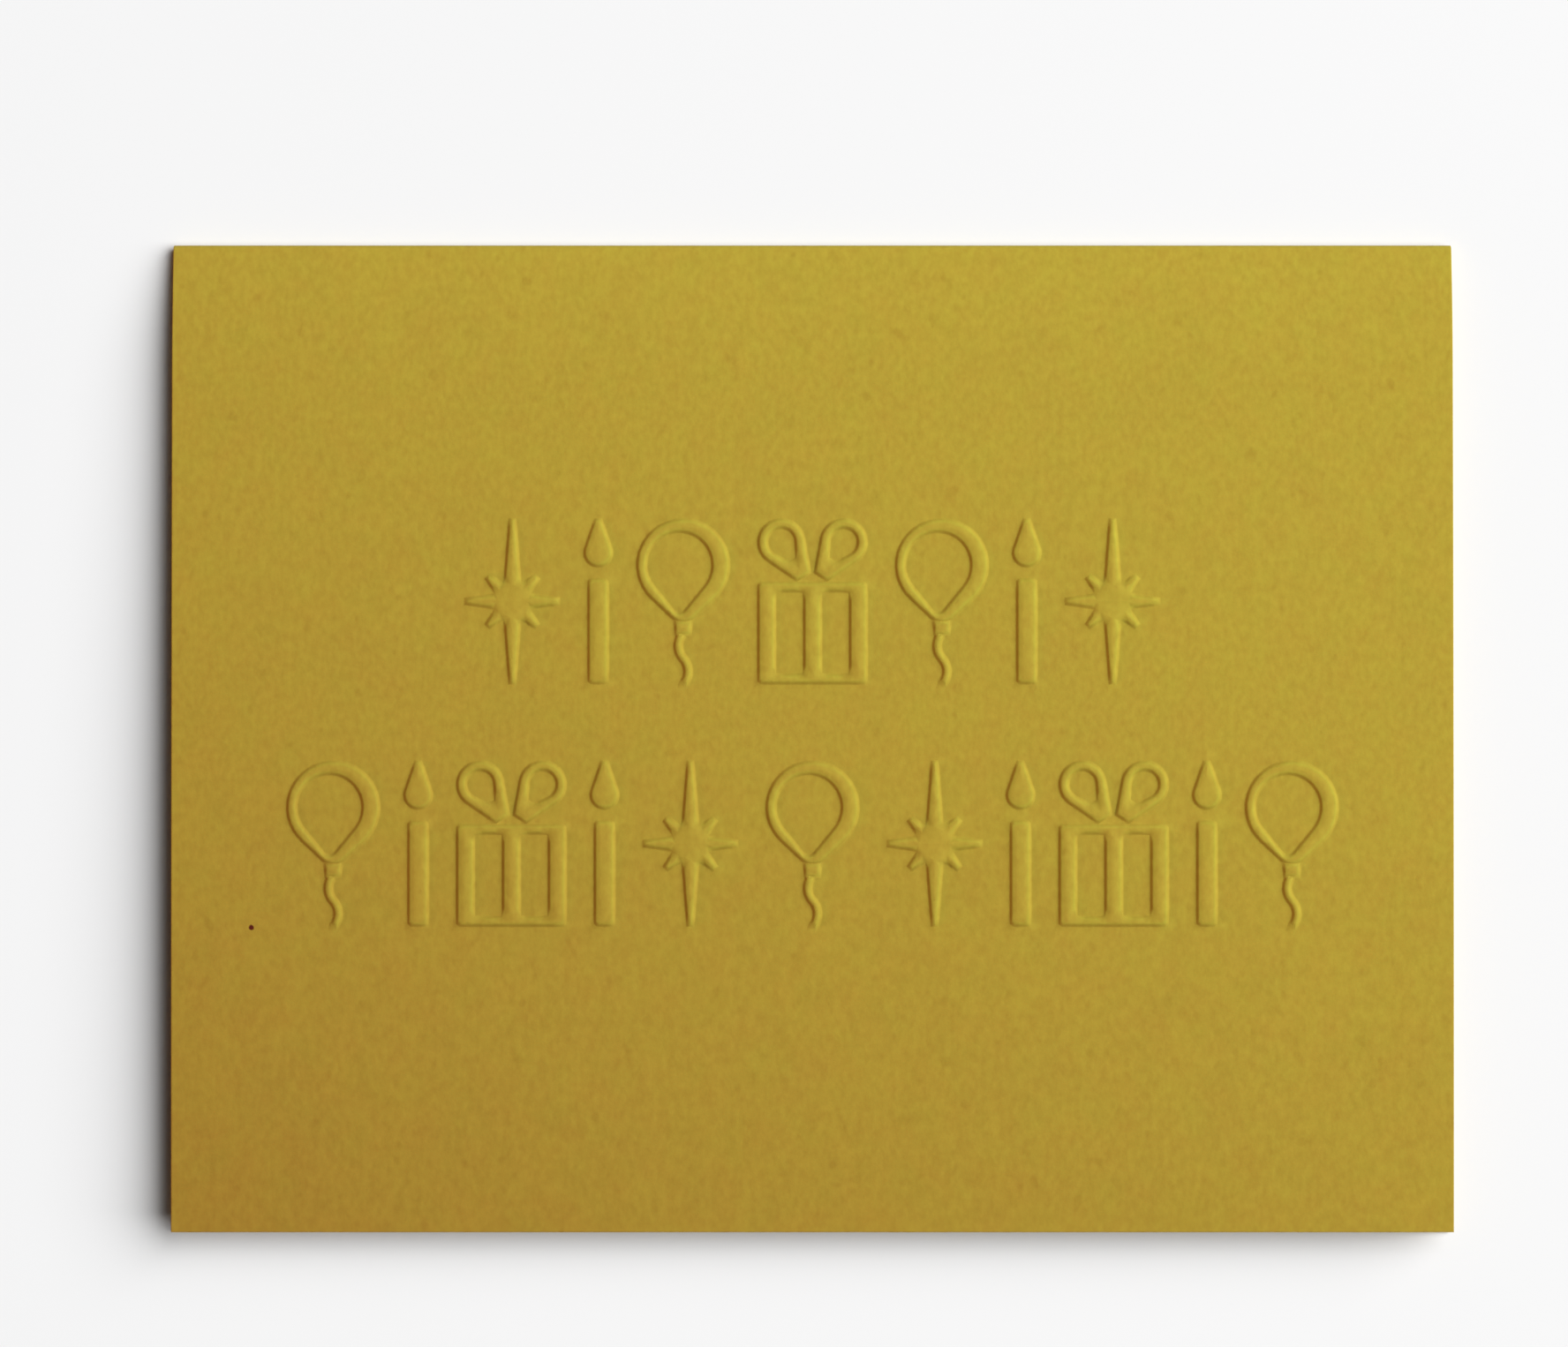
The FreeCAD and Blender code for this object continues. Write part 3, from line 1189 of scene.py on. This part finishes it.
@dataclass(frozen=True)
class CardStock:
    """Matte stock, dyed through in mustard, with the streaks of its fibres.

    The colour is painted darker and warmer towards one corner, a painted shade where the light falls off:
    that share grows along x and y from a start. The depths say how much the grain darkens each channel.
    """

    # The first two colours span a painted shade: darker and warmer towards the lower left, where the light
    # falls off.
    lit_dye: Colour = (0.419, 0.320, 0.0308)
    warm: Colour = (0.310, 0.186, 0.0197)
    dirt: Colour = (0.0802198, 0.0069954, 0.0015176)
    # Painted shade low on the strokes' walls.
    crease_shade: Colour = (0.97, 0.99, 0.97)
    # Painted highlight at the upper edge of the strokes' walls.
    shoulder_highlight: Colour = (0.99, 1.09, 1.05)
    depths: Colour = (1.07, 1.6, 2.0)
    # Spread and curve of that painted shade across the card.
    shade_along: tuple[float, float, float] = (-3.2, -5.3, 0.51)
    shade_power: float = 1.6
    roughness: float = 0.88
    roughness_swing: float = 0.12
    specular: float = 0.2
    grain: Noise = Noise(1.0, (1500.0, 950.0, 1500.0), 3.0)
    grain_strength: float = 0.25
    grain_height: float = 0.000012
    clouds: Noise = Noise(190.0, (1.0, 0.8, 1.0))
    cloud_strength: float = 0.055
    tints: Noise = Noise(300.0, (1.0, 0.8, 1.0), 3.0)
    tint_strength: float = 0.18
    tint_shares: Colour = (-0.35, 0.65, 0.0)
    flecks: Noise = Noise(520.0, (1.3, 0.9, 1.0), 1.0)
    fleck_edge: tuple[float, float] = (0.66, 12.0)
    fleck_strength: float = 0.05
    tooth: Noise = Noise(3600.0, octaves=3.0)
    tooth_height: float = 0.000008
    # Painted light: the embossed tops are painted lighter, where less shade falls on them.
    raised_painted_light: float = 0.03
    rag: Noise = Noise(3000.0)
    speck: Mark = Mark(-0.0611, -0.02054, 0.00026)
    speck_above: float = 0.002
    smudge: Mark = Mark(-0.0105, -0.0276, 0.0004)
    smudge_strength: float = 0.05

    def build(self) -> bpy.types.Material:
        """Build the material.

        Returns:
            The material, procedural in the piece's own coordinates.
        """
        material = bpy.data.materials.new("card_stock")
        material.use_nodes = True
        paint = PaintTree(material.node_tree)
        link = paint.tree.links.new
        shader, bump = paint.tree.nodes["Principled BSDF"], paint.tree.nodes.new("ShaderNodeBump")
        grain, clouds = paint.noise(self.grain), paint.noise(self.clouds)
        link(self.colour(paint, grain, clouds), shader.inputs["Base Color"])
        rough = (clouds - 0.5) * self.roughness_swing + self.roughness
        link(rough.socket, shader.inputs["Roughness"])
        shader.inputs["Specular IOR Level"].default_value = self.specular
        relief = paint.noise(self.tooth) * self.tooth_height + grain * self.grain_height
        link(relief.socket, bump.inputs["Height"])
        bump.inputs["Distance"].default_value = 1.0
        link(bump.outputs[0], shader.inputs["Normal"])
        return material

    def colour(self, paint: PaintTree, grain: Field, clouds: Field) -> bpy.types.NodeSocket:
        """Paint shade and highlights into the colour, across the card and along the embossing, then lay
        the grain and the marks over it.

        Args:
            paint: The material's tree.
            grain: Noise of the fibres.
            clouds: Slow noise.

        Returns:
            The colour.
        """
        x, y, z = split(paint.tree, paint.spot)
        rag = paint.noise(self.rag)
        # Painted shade: darker and warmer towards the lower left.
        along, up, start = self.shade_along
        shade_share = (x * along + y * up + start).within(0.0, 1.0).math("POWER", self.shade_power)
        dye_and_painted_light = paint.mix("MIX", shade_share, self.lit_dye, self.warm)
        # Painted shade low on the strokes' walls and a painted highlight at their upper edge.
        for band, tone in ((CREASE_SHADE, self.crease_shade), (SHOULDER_HIGHLIGHT, self.shoulder_highlight)):
            dye_and_painted_light = paint.mix("MULTIPLY", paint.attribute(band), dye_and_painted_light, tone)

        cut, steepness = self.fleck_edge
        flecks = ((paint.noise(self.flecks) - cut) * steepness).within(0.0, 1.0)
        level = (grain - 0.5) * self.grain_strength + (clouds - 0.5) * self.cloud_strength
        level = level - flecks * self.fleck_strength
        level = level - self.smudge.mask(x, y, rag) * self.smudge_strength
        # Painted light: the embossed tops are lightened.
        level = level + paint.attribute(EMBOSS) * self.raised_painted_light
        tint = (paint.noise(self.tints) - 0.5) * self.tint_strength
        channels = zip(self.depths, self.tint_shares)
        shades = [level * depth + (tint * share + 1.0) for depth, share in channels]
        dye_and_painted_light = paint.mix("MULTIPLY", 1.0, dye_and_painted_light, join(paint.tree, shades))
        speck = self.speck.mask(x, y, rag) * z.math("GREATER_THAN", self.speck_above)
        return paint.mix("MIX", speck, dye_and_painted_light, self.dirt)


@dataclass
class GreetingCard:
    """The card: one folded, embossed sheet."""

    sheet: Sheet
    relief: Relief = field(default_factory=Relief)
    sizes: MotifSizes = field(default_factory=MotifSizes)
    finish: CardStock = field(default_factory=CardStock)
    rows: tuple[tuple[MotifKind, ...], ...] = (
        (MotifKind.GIFT, MotifKind.BALLOON, MotifKind.CANDLE, MotifKind.STAR),
        (
            MotifKind.BALLOON, MotifKind.STAR, MotifKind.CANDLE,
            MotifKind.GIFT, MotifKind.CANDLE, MotifKind.BALLOON,
        ),
    )

    def build(self) -> bpy.types.Object:
        """Mesh the sheet flat, fold it and dress it.

        Returns:
            The finished piece.
        """
        material = self.finish.build()
        flat = FlatSheet(self.sheet, self.relief, self.sizes, self.rows).mesh()
        card = FoldTree(self.sheet, material).fold(flat, "card")
        card.data.polygons.foreach_set("use_smooth", [True] * len(card.data.polygons))
        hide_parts(NODE)
        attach(card, "root")
        return card


@dataclass(frozen=True)
class Lamp:
    """Square soft light that faces the card."""

    azimuth: float
    elevation: float
    size: float
    power: float
    colour: Colour
    distance: float = 6.0

    def build(self, name: str) -> bpy.types.Object:
        """Hang the light.

        Args:
            name: Name of the light.

        Returns:
            The light.
        """
        data = bpy.data.lights.new(name, "AREA")
        data.shape, data.size = "SQUARE", self.size
        data.energy, data.color = self.power, self.colour
        lamp = bpy.data.objects.new(name, data)
        turn, rise = math.radians(self.azimuth), math.radians(self.elevation)
        across = math.cos(rise)
        away = Vector((math.cos(turn) * across, math.sin(turn) * across, math.sin(rise)))
        lamp.location = away * self.distance
        lamp.rotation_mode = "QUATERNION"
        lamp.rotation_quaternion = away.to_track_quat("Z", "Y")
        bpy.context.scene.collection.objects.link(lamp)
        return lamp


@dataclass(frozen=True)
class Studio:
    """Pale floor, soft light from the right and the camera over the card, lengths in metres."""

    camera_height: float = 0.708
    camera_aim: Point = (-0.0031, 0.00714)
    lens: float = 148.37
    sensor: float = 36.0
    clip: Point = (0.01, 20.0)
    floor_size: float = 6.0
    floor_drop: float = 0.00002
    floor_level: float = 0.86
    floor_roughness: float = 0.9
    floor_specular: float = 0.1
    key: Lamp = Lamp(
        azimuth=17.0, elevation=45.0, size=7.0, power=776.0, colour=(0.986, 0.986, 0.988),
    )
    bounce: Lamp = Lamp(
        azimuth=192.0, elevation=12.0, size=2.0, power=128.0, colour=(1.0, 0.24, 0.09),
    )
    sky_level: float = 0.03

    def camera(self) -> None:
        """Place the camera straight above the card."""
        data = bpy.data.cameras.new("camera")
        data.lens, data.sensor_width = self.lens, self.sensor
        data.clip_start, data.clip_end = self.clip
        camera = bpy.data.objects.new("camera", data)
        camera.location = (*self.camera_aim, self.camera_height)
        bpy.context.scene.collection.objects.link(camera)
        bpy.context.scene.camera = camera

    def floor(self) -> bpy.types.Object:
        """Lay a pale matte floor just under the card.

        Returns:
            The floor.
        """
        mesh = bpy.data.meshes.new("floor")
        half, drop = self.floor_size / 2, -self.floor_drop
        corners = [(-half, -half, drop), (half, -half, drop), (half, half, drop), (-half, half, drop)]
        mesh.from_pydata(corners, [], [(0, 1, 2, 3)])
        floor = bpy.data.objects.new("floor", mesh)
        bpy.context.scene.collection.objects.link(floor)
        material = bpy.data.materials.new("floor")
        material.use_nodes = True
        shader = material.node_tree.nodes["Principled BSDF"]
        shader.inputs["Base Color"].default_value = (self.floor_level,) * 3 + (1.0,)
        shader.inputs["Roughness"].default_value = self.floor_roughness
        shader.inputs["Specular IOR Level"].default_value = self.floor_specular
        mesh.materials.append(material)
        return floor

    def lights(self, card: bpy.types.Object) -> None:
        """Light the set with a wide key, a faint sky, and a weak warm bounce on the card alone.

        Args:
            card: The piece that takes the bounce.
        """
        self.key.build("key")
        warmed = bpy.data.collections.new("warmed")
        warmed.objects.link(card)
        self.bounce.build("bounce").light_linking.receiver_collection = warmed
        world = bpy.data.worlds.new("sky")
        world.use_nodes = True
        sky = world.node_tree.nodes["Background"]
        sky.inputs["Color"].default_value = (1.0, 1.0, 1.0, 1.0)
        sky.inputs["Strength"].default_value = self.sky_level
        bpy.context.scene.world = world
        bpy.context.scene.view_settings.view_transform = "Standard"


def main() -> None:
    """Build the studio and the card round the frame."""
    logging.basicConfig(level=logging.INFO, format="%(message)s")
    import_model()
    studio = Studio()
    studio.camera()
    studio.floor()
    low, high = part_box(NODE)
    sheet = Sheet(width=(high[0] - low[0]) / MM, depth=(high[1] - low[1]) / MM)
    card = GreetingCard(sheet).build()
    studio.lights(card)
    log.info("%s: %d faces", card.name, len(card.data.polygons))
    log.info("flat sheet: %.1f x %.1f mm", sheet.width, sheet.flat_length)


if __name__ == "__main__":
    main()
